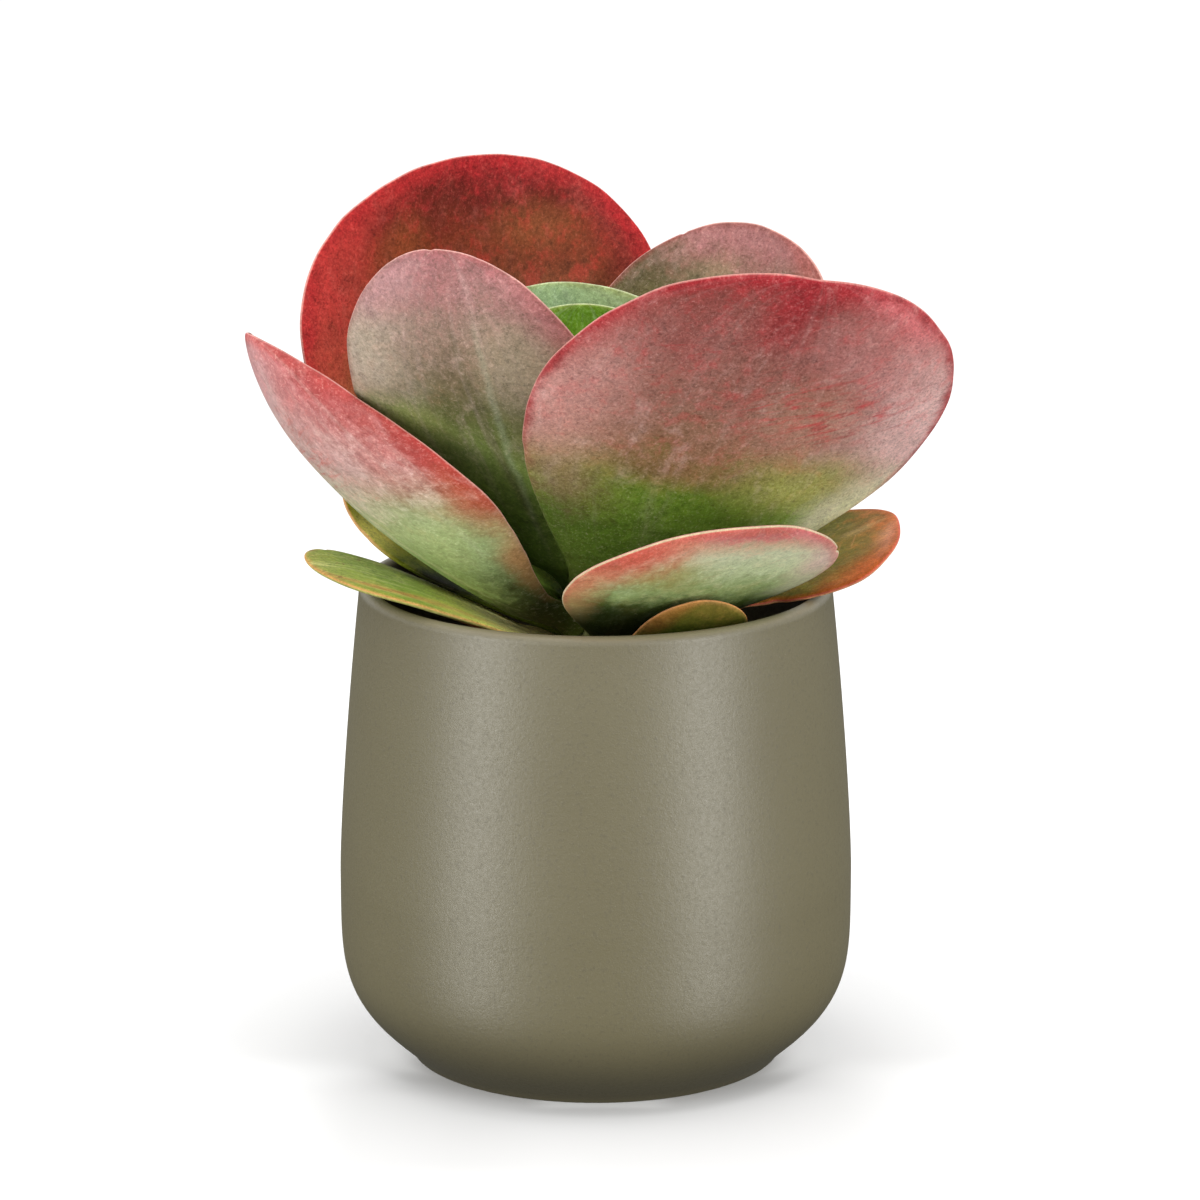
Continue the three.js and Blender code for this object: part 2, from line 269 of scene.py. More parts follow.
LEAF_INPUTS = [
    "Azimuth", "Height", "Length", "Slope", "Start Slope", "End Slope", "Bend", "Width", "Foot",
    "Widest", "Tip Round", "Waist", "Uneven", "Foot Cup", "Tip Cup", "Foot Roll", "Tip Roll",
    "Thickness", "Ripple", "Seed",
]


def stem_reach(board, height):
    """How far the stem's skin is from its axis at a height."""
    rise = board.smaller(1, board.larger(0, (height - SOIL_TOP) / (STEM_TOP - SOIL_TOP)))
    return board.root(1 - rise ** 3) * STEM_RADIUS + GAP


def leaf_tree():
    """A paddle leaf: a cupped, rolled blade along a curved midrib, with rounded margins."""
    inputs = [(name, "Float") for name in LEAF_INPUTS] + [("Skin", "Material")]
    tree, board, given = new_tree("paddle leaf", inputs, "Leaf")
    size = {name: given.out(name) for name in LEAF_INPUTS}
    length, height, width = size["Length"], size["Height"], size["Width"]
    widest, tip_round = size["Widest"], size["Tip Round"]

    # The sheet's x runs from the stem to the tip, and its y once around the section.
    sockets = {"Vertices X": LEAF_ROWS, "Vertices Y": LEAF_AROUND, "Size X": 1.0, "Size Y": 1.0}
    sheet = board.node("GeometryNodeMeshGrid", None, sockets)
    position = board.node("GeometryNodeInputPosition")
    sheet_x, sheet_y, _ = board.parts(position)
    row = (sheet_x + 0.5) * (LEAF_ROWS - 1)
    around = (sheet_y + 0.5) * math.tau
    row_share = board.larger(0, row - 1) / (LEAF_ROWS - 2)
    along = board.sine(row_share * (math.pi / 2))
    across = -board.cosine(around)
    upside = board.sine(around)
    open_row = board.smaller(1, row)
    fade = board.smaller(1, along / FADE_END)

    # Half width and distance to the margin.
    foot = size["Foot"] / width
    toward_widest = board.smaller(1, along / widest)
    swell = board.sine(toward_widest * (math.pi / 2)) ** size["Waist"]
    swollen = board.blend(foot, 1, swell)
    past_widest = board.larger(0, (along - widest) / (1 - widest))
    closing = board.smaller(1, past_widest ** tip_round)
    open_share = board.root(1 - closing)
    side = board.math("SIGN", across)
    uneven = 1 + size["Uneven"] * side * fade
    widest_half = width * 0.5 * swollen * uneven
    half = widest_half * open_share
    slant_across = board.size(across) * open_share * 2 / widest_half
    slant_along = tip_round * past_widest ** (tip_round - 1) / ((1 - widest) * length)
    slant = board.root(slant_across * slant_across + slant_along * slant_along + 0.00001)
    margin = (1 - across * across) * (1 - closing) / slant

    def heading(name, distance):
        """How far out and how far up a distance along one of the leaf's slopes leads."""
        angle = size[name] * DEGREE
        return distance * board.cosine(angle), distance * board.sine(angle)

    # The midrib is a Bezier curve in the upright plane of the leaf's azimuth.
    start_x = stem_reach(board, height)
    out, up = heading("Slope", length)
    end_x, end_z = start_x + out, height + up
    out, up = heading("Start Slope", length / 3)
    first_x, first_z = start_x + out, height + up
    out, up = heading("End Slope", length / 3)
    second_x, second_z = end_x - out, end_z - up
    rest = 1 - along

    def curve(a, b, c, d):
        """The curve's place and its run along one axis."""
        place = rest ** 3 * a + rest ** 2 * along * 3 * b
        place = place + rest * along ** 2 * 3 * c + along ** 3 * d
        run = rest ** 2 * 3 * (b - a) + rest * along * 6 * (c - b) + along ** 2 * 3 * (d - c)
        return place, run

    middle_x, run_x = curve(start_x, first_x, second_x, end_x)
    middle_z, run_z = curve(height, first_z, second_z, end_z)
    pace = board.root(run_x * run_x + run_z * run_z)
    run_x = run_x / pace
    run_z = run_z / pace
    middle_y = size["Bend"] * along ** 2

    # The blade is an arc across the midrib.
    roll = board.blend(size["Foot Roll"], size["Tip Roll"], along) * DEGREE
    cup = board.blend(size["Foot Cup"], size["Tip Cup"], along) * DEGREE
    turn = across * cup
    radius = half / cup
    out_across = radius * board.sine(turn)
    out_up = radius * (1 - board.cosine(turn))
    wide = (-run_z * board.sine(roll), board.cosine(roll), run_x * board.sine(roll))
    high = (-run_z * board.cosine(roll), -board.sine(roll), run_x * board.cosine(roll))

    # Thickness, thin and round at the margin, with a soft unevenness of the flesh.
    edge_share = 1 - (1 - board.size(across) ** 3) * (1 - past_widest ** 5)
    flesh = size["Thickness"] * (FOOT_THICKENING - TIP_THINNING * along)
    thick = board.blend(flesh, EDGE_THICKNESS, edge_share) * 0.5
    rounding = board.root(1 - board.math("EXPONENT", -margin / EDGE_ROUND))
    offset = thick * rounding * open_row * board.math("SIGN", upside)
    flat = board.vector(across * half, along * length, size["Seed"] * NOISE_STEP)
    ripple = (board.noise(flat, 0.035, 1.0) - 0.5) * size["Ripple"] * fade
    offset = offset + ripple

    # The margin wavers a little and has a few small nicks.
    waver = (board.noise(flat, 0.05, 1.0) - 0.5) * WAVER_HEIGHT
    waver = waver * board.math("EXPONENT", -margin / WAVER_DEPTH)
    nick = board.larger(0, board.noise(flat, 0.14, 1.0) - NICK_START) * NICK_HEIGHT
    nick = nick * board.math("EXPONENT", -margin / NICK_DEPTH)
    shift = (waver - nick) * fade
    shift_across = shift * side * slant_across / slant
    shift_along = shift * slant_along / slant

    # The blade's arc, its thickness and the margin's shift, added up along each axis.
    sine_turn = board.sine(turn)
    cosine_turn = board.cosine(turn)
    placed = []
    for axis, middle in enumerate((middle_x, middle_y, middle_z)):
        point = middle + wide[axis] * out_across + high[axis] * out_up
        point = point + (high[axis] * cosine_turn - wide[axis] * sine_turn) * offset
        point = point + (wide[axis] * cosine_turn + high[axis] * sine_turn) * shift_across
        if axis == 0:
            point = point + run_x * shift_along
        if axis == 2:
            point = point + run_z * shift_along
        placed.append(point)

    # The foot is moved outwards or inwards until it lies just off the stem.
    reach = stem_reach(board, placed[2])
    seated = board.root(reach * reach - placed[1] * placed[1])
    seat_share = board.larger(0, 1 - along / SEAT_END)
    placed[0] = board.blend(placed[0], seated, seat_share)

    metres = board.vector(placed[0] * MM, placed[1] * MM, placed[2] * MM)
    turned = board.node(
        "ShaderNodeVectorRotate", {"rotation_type": "Z_AXIS"},
        {"Vector": metres, "Angle": size["Azimuth"] * DEGREE},
    )
    face = board.ease(upside, -0.06, 0.06)
    shape = sheet
    for name, value in (("along", along), ("across", across), ("face", face), ("margin", margin)):
        sockets = {"Geometry": shape, "Name": name, "Value": value}
        shape = board.node("GeometryNodeStoreNamedAttribute", {"data_type": "FLOAT"}, sockets)
    both = board.vector(across * half, along * length, size["Seed"] * NOISE_STEP + face * 3)
    sockets = {"Geometry": shape, "Name": "flat", "Value": both}
    shape = board.node("GeometryNodeStoreNamedAttribute", {"data_type": "FLOAT_VECTOR"}, sockets)
    shape = board.node("GeometryNodeSetPosition", None, {"Geometry": shape, "Position": turned})
    sockets = {"Geometry": shape, "Distance": MERGE_DISTANCE}
    shape = board.node("GeometryNodeMergeByDistance", None, sockets)
    close_tree(board, shape, given.out("Skin"), "Leaf")
    return tree


def grow(name, tree, values, ground=None):
    """Runs a tree, on an empty mesh or on a ground mesh, and keeps the result as a plain mesh."""
    ground = ground or bpy.data.meshes.new(name + " ground")
    seedling = put(name + " seedling", ground)
    modifier = seedling.modifiers.new("growth", "NODES")
    modifier.node_group = tree
    inputs = [item for item in tree.interface.items_tree if item.in_out == "INPUT"]
    keys = {item.name: item.identifier for item in inputs}
    for label, value in values.items():
        modifier[keys[label]] = value
    depsgraph = bpy.context.evaluated_depsgraph_get()
    mesh = bpy.data.meshes.new_from_object(seedling.evaluated_get(depsgraph))
    bpy.data.objects.remove(seedling)
    mesh.name = name
    return put(name, mesh)


def face_outwards(piece):
    """Turns every face of a closed mesh to point out of it."""
    shape = bmesh.new()
    shape.from_mesh(piece.data)
    bmesh.ops.recalc_face_normals(shape, faces=shape.faces)
    shape.to_mesh(piece.data)
    shape.free()


# ---- Leaf colours, red, green and blue as they look on screen, 0 to 255
DEEP_GREEN = (84, 98, 36)
FOOT_GREEN = (100, 122, 48)
LEAF_GREEN = (104, 136, 44)
SOFT_GREEN = (126, 158, 72)
MOSS_GREEN = (128, 130, 62)
YELLOW_GREEN = (160, 164, 86)
GREY_GREEN = (150, 178, 130)
FRESH_GREEN = (92, 132, 30)
STRAW = (158, 144, 108)
SAND = (190, 160, 104)
IVORY_GLINT = (246, 232, 212)
OLIVE = (102, 104, 40)
BRONZE = (134, 104, 54)
RUST = (124, 70, 44)
UMBER = (104, 42, 34)
BROWN_ROSE = (142, 106, 78)
TAWNY_ROSE = (150, 108, 92)
DUSTY_ROSE = (148, 90, 82)
WINE_ROSE = (142, 74, 68)
SOFT_PINK = (206, 150, 142)
SHELL_PINK = (230, 190, 184)
CRIMSON = (156, 44, 50)
DEEP_CRIMSON = (136, 40, 42)
BRIGHT_CRIMSON = (184, 60, 64)
CORAL = (200, 92, 82)
ROSE_CORAL = (206, 118, 114)
ORANGE_RED = (184, 92, 44)
APRICOT = (208, 146, 92)
PEACH = (222, 166, 124)
PALE_EDGE = (228, 176, 164)
CREAM = (206, 214, 172)
POWDER = (206, 178, 170)
GREEN_POWDER = (206, 216, 190)
DRIED_RED = (190, 34, 24)

# What a face's look has unless it says otherwise.
PLAIN_LOOK = dict(
    tilt=0, patches=[], veins_and_glints=[], flush_width=4, flush_amount=0.7, flush_reach=(0.3, 0.6), blotches=0.3,
    powder_and_sheen=POWDER, smears=0.2, streaks=0.1, flecks=0.2, speckle=1.0, pit=UMBER, pits=0.3,
    scuff=RUST, scuffs=0.25, scuff_spots=[],
    line=PALE_EDGE, line_width=0.5, line_amount=0.7, line_reach=(0.08, 0.3),
)


def spot(board, feel, place):
    """How far inside a soft edged oval of the leaf a point lies, 1 at its middle and 0 outside."""
    place_across, place_along, wide, tall = place
    a = (feel.across - place_across) / wide
    b = (feel.along - place_along) / tall
    distance = board.root(a * a + b * b) + (feel.cloud - 0.5) * 0.7 + (feel.mottle - 0.5) * 0.5
    return 1 - board.ease(distance, 0.1, 1.1)


def skin_colour(board, look, feel):
    """The colour of one face of a leaf.

    From below: the ground from foot to tip, patches, blotches, the flush inside the margin,
    veins and painted glints, powder and painted sheen, pits, scuffs, the pale line on the margin,
    and a speckle over all.
    """
    look = PLAIN_LOOK | look
    along, across, margin = feel.along, feel.across, feel.margin
    drift, cloud, mottle = feel.drift, feel.cloud, feel.mottle
    powder_and_sheen = look["powder_and_sheen"]
    reach = along + (drift - 0.5) * 0.14 + (cloud - 0.5) * 0.14 + (mottle - 0.5) * 0.12
    reach = reach + across * look["tilt"]
    stops = [(place, srgb(*tint)) for place, tint in look["ground"]]
    colour = board.node("ShaderNodeValToRGB", {"stops": stops}, {0: reach})

    def lay(tint, share):
        """Lays one more tint over the colour."""
        nonlocal colour
        colour = board.paint(colour, srgb(*tint), share)

    for *place, tint, amount in look["patches"]:
        lay(tint, spot(board, feel, place) * amount)

    blotch = board.ease(feel.blot + (mottle - 0.5) * 0.5, 0.48, 0.72) * look["blotches"]
    lay(look["flush"], blotch * board.ease(along, 0.35, 0.7))
    flush_start, flush_full = look["flush_reach"]
    flush_width = look["flush_width"]
    inward = margin + (cloud - 0.5) * flush_width * 1.2 + (feel.blot - 0.5) * flush_width * 1.5
    flush = (1 - board.ease(inward, 0.0, flush_width)) * look["flush_amount"]
    flush = flush * board.ease(along, flush_start, flush_full)
    lay(look["flush"], flush)

    # Veins, and on some leaves painted glints, as soft lines along the blade.
    for low, high, wide, tint, amount in look["veins_and_glints"]:
        off_line = board.size(across - low - (along + (cloud - 0.5) * 0.3) * (high - low))
        vein_and_glint = (1 - board.ease(off_line, 0.0, wide)) * board.ease(along, 0.12, 0.4)
        lay(tint, vein_and_glint * (1 - board.ease(along, 0.75, 0.92)) * amount)

    # Smears of the powder colour: bloom, and on one leaf also painted sheen.
    smear = board.ease(feel.smear + (mottle - 0.5) * 0.4, 0.5, 0.78) * look["smears"]
    lay(powder_and_sheen, smear * board.ease(along, 0.25, 0.55))
    streak = board.ease(feel.streak, 0.5, 0.7) * look["streaks"]
    lay(powder_and_sheen, streak * board.ease(along, 0.15, 0.4))
    flecks = board.ease(feel.grain, 0.52, 0.75) * look["flecks"]
    lay(powder_and_sheen, flecks)
    pits = board.ease(feel.grain, 0.48, 0.25) * look["pits"]
    lay(look["pit"], pits)

    scuff = board.ease(feel.scratch, 0.58, 0.66)
    slight = scuff * board.ease(feel.smear, 0.5, 0.4) * board.ease(along, 0.4, 0.6)
    lay(look["scuff"], slight * look["scuffs"])
    for place in look["scuff_spots"]:
        deep = board.ease(feel.scratch, 0.46, 0.66) * spot(board, feel, place)
        lay(look["scuff"], deep * 0.7)

    line = 1 - board.ease(margin + (mottle - 0.5) * 0.15, 0.05, look["line_width"])
    line_start, line_full = look["line_reach"]
    line = line * look["line_amount"] * board.ease(along, line_start, line_full)
    lay(look["line"], line)
    speckle = look["speckle"]
    value = (feel.grain - 0.5) * 1.3 + (mottle - 0.5) * 1.2 + (feel.blot - 0.5) * 0.4
    value = 1 + value * speckle + (cloud - 0.5) * 0.2
    return board.paint(colour, value, 1.0, "MULTIPLY")


def leaf_material(name, outer, inner, gloss, shine):
    """A satin leaf skin under a powdery bloom, with its own look on each face."""
    material, board = new_material(name)

    def attribute(label, out="Fac"):
        return board.node("ShaderNodeAttribute", {"attribute_name": label}).out(out)

    flat = attribute("flat", "Vector")
    x, y, z = board.parts(flat)
    slanted = board.vector(x * 0.09 + y * 0.03, y * 0.5 - x * 0.2, z)
    feel = SimpleNamespace(**{label: attribute(label) for label in ("along", "across", "margin")})
    feel.drift = board.noise(flat, 0.022, 2.0, 0.5)
    feel.cloud = board.noise(flat, 0.075, 3.0, 0.55, 0.4)
    feel.blot = board.noise(board.stretch(flat, 1.0, 1.0, 2.0), 0.13, 4.0, 0.62, 0.5)
    feel.smear = board.noise(board.stretch(flat, 1.0, 0.6, 3.0), 0.12, 5.0, 0.7, 0.4)
    feel.mottle = board.noise(flat, 0.34, 5.0, 0.7, 0.5)
    feel.grain = board.noise(flat, 1.15, 3.0, 0.75, 0.8)
    lengthwise = board.vector(feel.across * 8, feel.along * 1.6, z)
    feel.streak = board.noise(lengthwise, 1.0, 4.0, 0.65, 0.3)
    feel.scratch = board.noise(slanted, 1.0, 4.0, 0.65, 0.6)
    outside = skin_colour(board, outer, feel)
    inside = skin_colour(board, inner, feel)
    colour = board.paint(outside, inside, attribute("face"))
    rough = gloss + (0.5 - feel.smear) * 0.25 + (feel.grain - 0.5) * 0.3
    height = feel.grain * 0.6 + feel.mottle * 0.9 + feel.scratch * 0.2
    close_material(board, {
        "Base Color": colour,
        "Roughness": rough,
        "Normal": bump(board, height, 0.3, 0.0004),
        "Subsurface Weight": 0.06,
        "Subsurface Radius": (1, 0.5, 0.25),
        "Subsurface Scale": 0.002,
        "Specular IOR Level": shine,
    })
    return material


# ---- The looks of the leaves' faces
# ground: (along, tint) stops. patches: ovals (across, along, half width, half length, tint, amount).
# veins_and_glints: veins and painted glints, as lines (across at the foot, across at the tip, half
# width, tint, amount).

front_right_outer = dict(
    ground=[
        (0, (84, 100, 40)), (0.3, (82, 108, 34)), (0.42, (102, 134, 42)), (0.48, MOSS_GREEN),
        (0.54, BROWN_ROSE), (0.62, TAWNY_ROSE), (0.8, DUSTY_ROSE), (0.92, WINE_ROSE), (1, CRIMSON)],
    patches=[
        (0.7, 0.8, 0.5, 0.2, (190, 112, 108), 0.6), (1, 0.62, 0.7, 0.32, SHELL_PINK, 0.95),
        (-1, 0.6, 0.55, 0.3, SOFT_PINK, 0.85), (0.4, 0.48, 0.5, 0.11, YELLOW_GREEN, 0.9),
        (-0.8, 0.4, 0.45, 0.1, (136, 108, 74), 0.55), (0.98, 0.38, 0.5, 0.15, (220, 226, 186), 0.9),
        (-0.05, 0.92, 0.3, 0.12, CRIMSON, 0.75), (-0.6, 1.0, 0.6, 0.07, CRIMSON, 0.5),
        (0.55, 1.0, 0.7, 0.09, BRIGHT_CRIMSON, 0.8), (0.95, 0.94, 0.5, 0.14, (228, 124, 126), 0.92),
        (0.3, 0.64, 0.35, 0.16, (178, 134, 112), 0.6), (-0.25, 0.495, 0.5, 0.06, (138, 98, 72), 0.75),
        (0.42, 0.85, 0.4, 0.12, (184, 124, 118), 0.6), (-1, 0.8, 0.2, 0.16, (186, 72, 74), 0.7)],
    flush=(166, 42, 49), flush_width=4.5, flush_amount=0.85, blotches=0.4, smears=0.3,
    scuff=BRIGHT_CRIMSON, scuffs=0.3, scuff_spots=[(0.35, 0.68, 0.6, 0.12)], line_width=0.3,
    line_amount=0.4,
)
front_left_outer = dict(
    ground=[
        (0, (80, 106, 40)), (0.3, (108, 136, 58)), (0.42, (118, 140, 66)), (0.52, (110, 124, 64)),
        (0.62, (98, 100, 58)), (0.71, (120, 106, 78)), (0.82, (152, 126, 110)),
        (0.92, (156, 110, 106)), (1, (166, 102, 104))],
    patches=[
        (-0.95, 0.74, 0.8, 0.2, (188, 172, 152), 0.97),
        (-0.95, 0.92, 0.85, 0.12, (188, 140, 140), 0.85),
        (0.55, 0.7, 0.55, 0.16, (170, 154, 128), 0.85), (-0.65, 0.57, 0.5, 0.1, (138, 148, 80), 0.85),
        (0.98, 0.86, 0.4, 0.2, (174, 108, 108), 0.8), (0.45, 0.52, 0.3, 0.1, (138, 124, 86), 0.6)],
    veins_and_glints=[(0.12, 0.02, 0.07, (96, 92, 62), 0.5), (0, 0.3, 0.05, GREEN_POWDER, 0.15)],
    flush=WINE_ROSE, flush_width=2.5, flush_amount=0.4, blotches=0.12, streaks=0.15,
    pit=(112, 104, 76), scuff=WINE_ROSE, scuffs=0.1, line_width=0.4,
)
left_folded_outer = dict(
    ground=[
        (0, DEEP_GREEN), (0.1, (48, 56, 24)), (0.2, (84, 98, 56)), (0.3, (160, 184, 128)),
        (0.42, (170, 192, 136)), (0.52, (172, 184, 134)), (0.6, (204, 194, 168)),
        (0.7, (213, 189, 179)), (0.8, (214, 182, 177)), (0.9, (200, 156, 154)), (1, (182, 130, 130))],
    tilt=-0.04,
    patches=[
        (-1, 0.8, 0.5, 0.3, (174, 76, 74), 0.85), (-1, 0.54, 0.4, 0.24, (190, 138, 120), 0.7),
        (0.5, 0.8, 0.6, 0.22, (186, 126, 120), 0.7), (0.78, 0.93, 0.66, 0.16, (172, 82, 82), 0.95),
        (1, 0.72, 0.56, 0.34, (162, 54, 48), 0.97), (1, 0.54, 0.3, 0.16, (178, 84, 60), 0.93),
        (1, 0.32, 0.32, 0.18, (210, 160, 106), 0.9), (0.55, 0.44, 0.4, 0.12, (178, 194, 130), 0.6)],
    # The two ivory lines are painted glints, whitish streaks of highlight across the blade.
    veins_and_glints=[(-0.2, -0.95, 0.07, IVORY_GLINT, 0.3), (0.42, -0.3, 0.07, IVORY_GLINT, 0.25)],
    flush=(184, 64, 58), flush_amount=0.6, blotches=0.2, powder_and_sheen=(232, 218, 204), streaks=0.14,
    speckle=0.75, pit=WINE_ROSE, pits=0.15, scuff=CORAL, scuffs=0.2,
    scuff_spots=[(0.1, 0.72, 0.3, 0.14), (-0.95, 0.66, 0.25, 0.22)], line_width=0.3, line_amount=0.55,
)
low_front_outer = dict(
    ground=[
        (0, DEEP_GREEN), (0.45, (58, 72, 24)), (0.54, (80, 98, 38)), (0.64, (158, 180, 114)),
        (0.73, (202, 214, 164)), (0.84, (212, 216, 178)), (0.91, (212, 182, 150)), (0.97, ROSE_CORAL),
        (1, (200, 106, 96))],
    patches=[
        (-0.45, 0.74, 0.42, 0.13, YELLOW_GREEN, 0.75), (-0.95, 0.84, 0.68, 0.24, (226, 102, 84), 0.97),
        (-1, 0.62, 0.34, 0.22, (228, 146, 108), 0.85), (0.98, 0.74, 0.5, 0.2, (238, 202, 190), 0.9),
        (-1, 0.46, 0.3, 0.15, (200, 178, 114), 0.8), (0.85, 0.6, 0.4, 0.14, (208, 210, 170), 0.8),
        (0.98, 0.93, 0.55, 0.14, (222, 130, 132), 0.9)],
    flush=CORAL, flush_width=3, flush_amount=0.5, blotches=0.1, powder_and_sheen=GREEN_POWDER, smears=0.1,
    speckle=0.65, pit=LEAF_GREEN, pits=0.15, scuff=CORAL, scuffs=0.15, line=CREAM, line_width=0.4,
)
back_right_inner = dict(
    ground=[
        (0, FOOT_GREEN), (0.4, LEAF_GREEN), (0.68, MOSS_GREEN), (0.8, (118, 106, 76)),
        (0.88, (150, 110, 98)), (0.95, (170, 116, 114)), (1, (174, 116, 114))],
    patches=[
        (0.98, 0.82, 0.55, 0.16, (92, 84, 54), 0.8), (-0.98, 0.9, 0.36, 0.3, CORAL, 0.5),
        (0.2, 0.86, 0.3, 0.08, STRAW, 0.5)],
    flush=WINE_ROSE, flush_width=2.5, blotches=0.2, scuff=UMBER,
)
back_left_inner = dict(
    ground=[
        (0, FOOT_GREEN), (0.3, LEAF_GREEN), (0.55, BRONZE), (0.7, RUST), (0.82, (122, 52, 30)),
        (0.9, (110, 38, 28)), (0.96, (142, 38, 38)), (1, (164, 38, 42))],
    patches=[
        (1, 0.8, 0.58, 0.5, (200, 62, 58), 0.92), (-1, 0.85, 0.35, 0.45, (148, 38, 40), 0.85),
        (0.45, 0.84, 0.25, 0.1, (142, 74, 38), 0.6), (-0.4, 0.84, 0.4, 0.08, (140, 84, 48), 0.6)],
    flush=(184, 42, 46), flush_width=7, flush_amount=0.75, flush_reach=(0.2, 0.5),
    powder_and_sheen=(168, 96, 84), smears=0.25, flecks=0.3, speckle=1.3, line_width=0.4, line_amount=0.6,
)
rosy_inner = dict(
    ground=[
        (0, FOOT_GREEN), (0.35, LEAF_GREEN), (0.6, MOSS_GREEN), (0.78, BRONZE), (0.9, WINE_ROSE),
        (1, DEEP_CRIMSON)],
    patches=[(-1, 0.7, 0.4, 0.5, WINE_ROSE, 0.7), (1, 0.7, 0.4, 0.5, WINE_ROSE, 0.7)],
    flush=CRIMSON, flush_width=7,
)
rosy_outer = dict(
    ground=[
        (0, FOOT_GREEN), (0.25, FOOT_GREEN), (0.4, LEAF_GREEN), (0.5, MOSS_GREEN), (0.62, TAWNY_ROSE),
        (0.82, DUSTY_ROSE), (1, CRIMSON)],
    patches=[(-1, 0.6, 0.5, 0.3, SOFT_PINK, 0.7), (1, 0.6, 0.5, 0.3, SOFT_PINK, 0.7)],
    flush=CRIMSON, scuff=BRIGHT_CRIMSON,
)
centre_back_face = dict(
    ground=[(0, LEAF_GREEN), (0.4, SOFT_GREEN), (0.8, (146, 172, 124)), (1, GREY_GREEN)],
    patches=[(-1, 0.95, 0.8, 0.2, (170, 184, 130), 0.7)],
    flush=YELLOW_GREEN, flush_width=2, flush_amount=0.4, blotches=0.1, powder_and_sheen=GREEN_POWDER,
    pit=LEAF_GREEN, pits=0.2, scuff=LEAF_GREEN, scuffs=0.1, line=CREAM,
)
fresh_face = dict(
    ground=[(0, SOFT_GREEN), (0.4, LEAF_GREEN), (0.8, FRESH_GREEN), (1, FRESH_GREEN)],
    patches=[(1, 0.7, 0.8, 0.4, (118, 142, 54), 0.7)],
    flush=YELLOW_GREEN, flush_width=2, flush_amount=0.4, blotches=0.1, powder_and_sheen=GREEN_POWDER,
    smears=0.06, flecks=0.08, pit=OLIVE, pits=0.2, scuff=OLIVE, scuffs=0.1, line=CREAM,
)
over_right_inner = dict(
    ground=[
        (0, DEEP_GREEN), (0.4, (84, 94, 28)), (0.7, (104, 108, 36)), (0.86, (130, 106, 46)),
        (0.95, (164, 98, 50)), (1, (180, 96, 52))],
    patches=[
        (-0.95, 0.8, 0.46, 0.26, (206, 106, 54), 0.95), (-0.85, 0.96, 0.6, 0.12, (218, 150, 120), 0.8),
        (-1, 0.48, 0.4, 0.14, (70, 70, 18), 0.9), (0.65, 0.8, 0.55, 0.17, (110, 108, 38), 0.85),
        (0, 0.87, 0.12, 0.1, SAND, 0.5)],
    # On this face the sandy smears of the powder layer are partly bloom and partly painted glossy
    # highlights.
    flush=ORANGE_RED, flush_width=3, powder_and_sheen=SAND, flecks=0.12, pit=OLIVE, scuff=APRICOT, scuffs=0.3,
    line=CORAL,
)
# The very pale yellow from the foot to the middle, and the cream patch by the near margin, are partly
# the leaf's own yellow and partly painted light where the leaf lies in shade.
over_left_inner = dict(
    ground=[
        (0, SAND), (0.3, (252, 248, 160)), (0.46, (240, 246, 124)), (0.6, (180, 206, 90)),
        (0.72, (146, 172, 72)), (0.86, (152, 174, 72)), (1, (160, 168, 76))],
    patches=[
        (0.6, 0.5, 0.3, 0.25, (240, 208, 122), 0.8), (0.62, 0.8, 0.2, 0.26, (202, 146, 86), 0.85),
        (-0.9, 0.6, 0.4, 0.3, (118, 146, 56), 0.5)],
    flush=APRICOT, flush_width=2, flush_amount=0.45, flush_reach=(0.02, 0.1), blotches=0.15,
    powder_and_sheen=(214, 214, 140), smears=0.35, streaks=0.6, pit=OLIVE, scuffs=0.5, line=APRICOT,
)
low_back_left_inner = dict(
    ground=[
        (0, DEEP_GREEN), (0.4, (90, 108, 30)), (0.6, (144, 150, 34)), (0.85, (164, 164, 36)),
        (1, (176, 146, 60))],
    # On the far margin, the near-black patch low down is painted shade, and the pale yellow patch above
    # it is painted light over the leaf's own yellow green.
    patches=[(0.98, 0.66, 0.4, 0.13, (250, 240, 124), 0.95), (1, 0.36, 0.5, 0.17, (16, 20, 8), 0.97)],
    flush=ORANGE_RED, flush_width=1, flush_amount=0.4, flush_reach=(0.5, 0.66), blotches=0.15,
    smears=0.06, flecks=0.1, pit=OLIVE, scuffs=0.2, line=PEACH, line_reach=(0.5, 0.66),
)
olive_face = dict(
    ground=[(0, DEEP_GREEN), (0.4, DEEP_GREEN), (0.65, OLIVE), (0.85, BRONZE), (1, ORANGE_RED)],
    flush=ORANGE_RED, flush_width=3.5, powder_and_sheen=SAND, smears=0.15, flecks=0.15, pit=OLIVE, scuffs=0.3,
    line=PEACH,
)
small_front_outer = dict(
    ground=[
        (0, DEEP_GREEN), (0.6, (62, 78, 22)), (0.78, (74, 92, 24)), (0.9, (106, 106, 36)),
        (1, (126, 106, 46))],
    patches=[(-0.95, 0.85, 0.5, 0.3, (154, 102, 48), 0.85)],
    flush=APRICOT, flush_width=1.5, flush_amount=0.2, flush_reach=(0.2, 0.4), blotches=0.15,
    powder_and_sheen=(138, 134, 74), smears=0.12, flecks=0.15, speckle=0.8, pit=OLIVE, scuffs=0.2, line=APRICOT,
    line_width=0.3,
)
pale_underside = dict(
    ground=[(0, SOFT_GREEN), (0.4, (158, 164, 84)), (1, (172, 172, 94))],
    flush=YELLOW_GREEN, flush_width=2, flush_amount=0.5, flush_reach=(0.05, 0.2), blotches=0.15,
    powder_and_sheen=GREEN_POWDER, pit=OLIVE, pits=0.2, scuff=BRONZE, scuffs=0.2, line=(180, 174, 96),
)
dark_face = dict(
    ground=[(0, DEEP_GREEN), (0.4, DRIED_RED), (1, DRIED_RED)],
    flush=CRIMSON, flush_width=2, blotches=0.4, smears=0.05, flecks=0.1, scuff=UMBER, line=RUST,
)


# ---- The leaves, from the oldest low ones to the bud

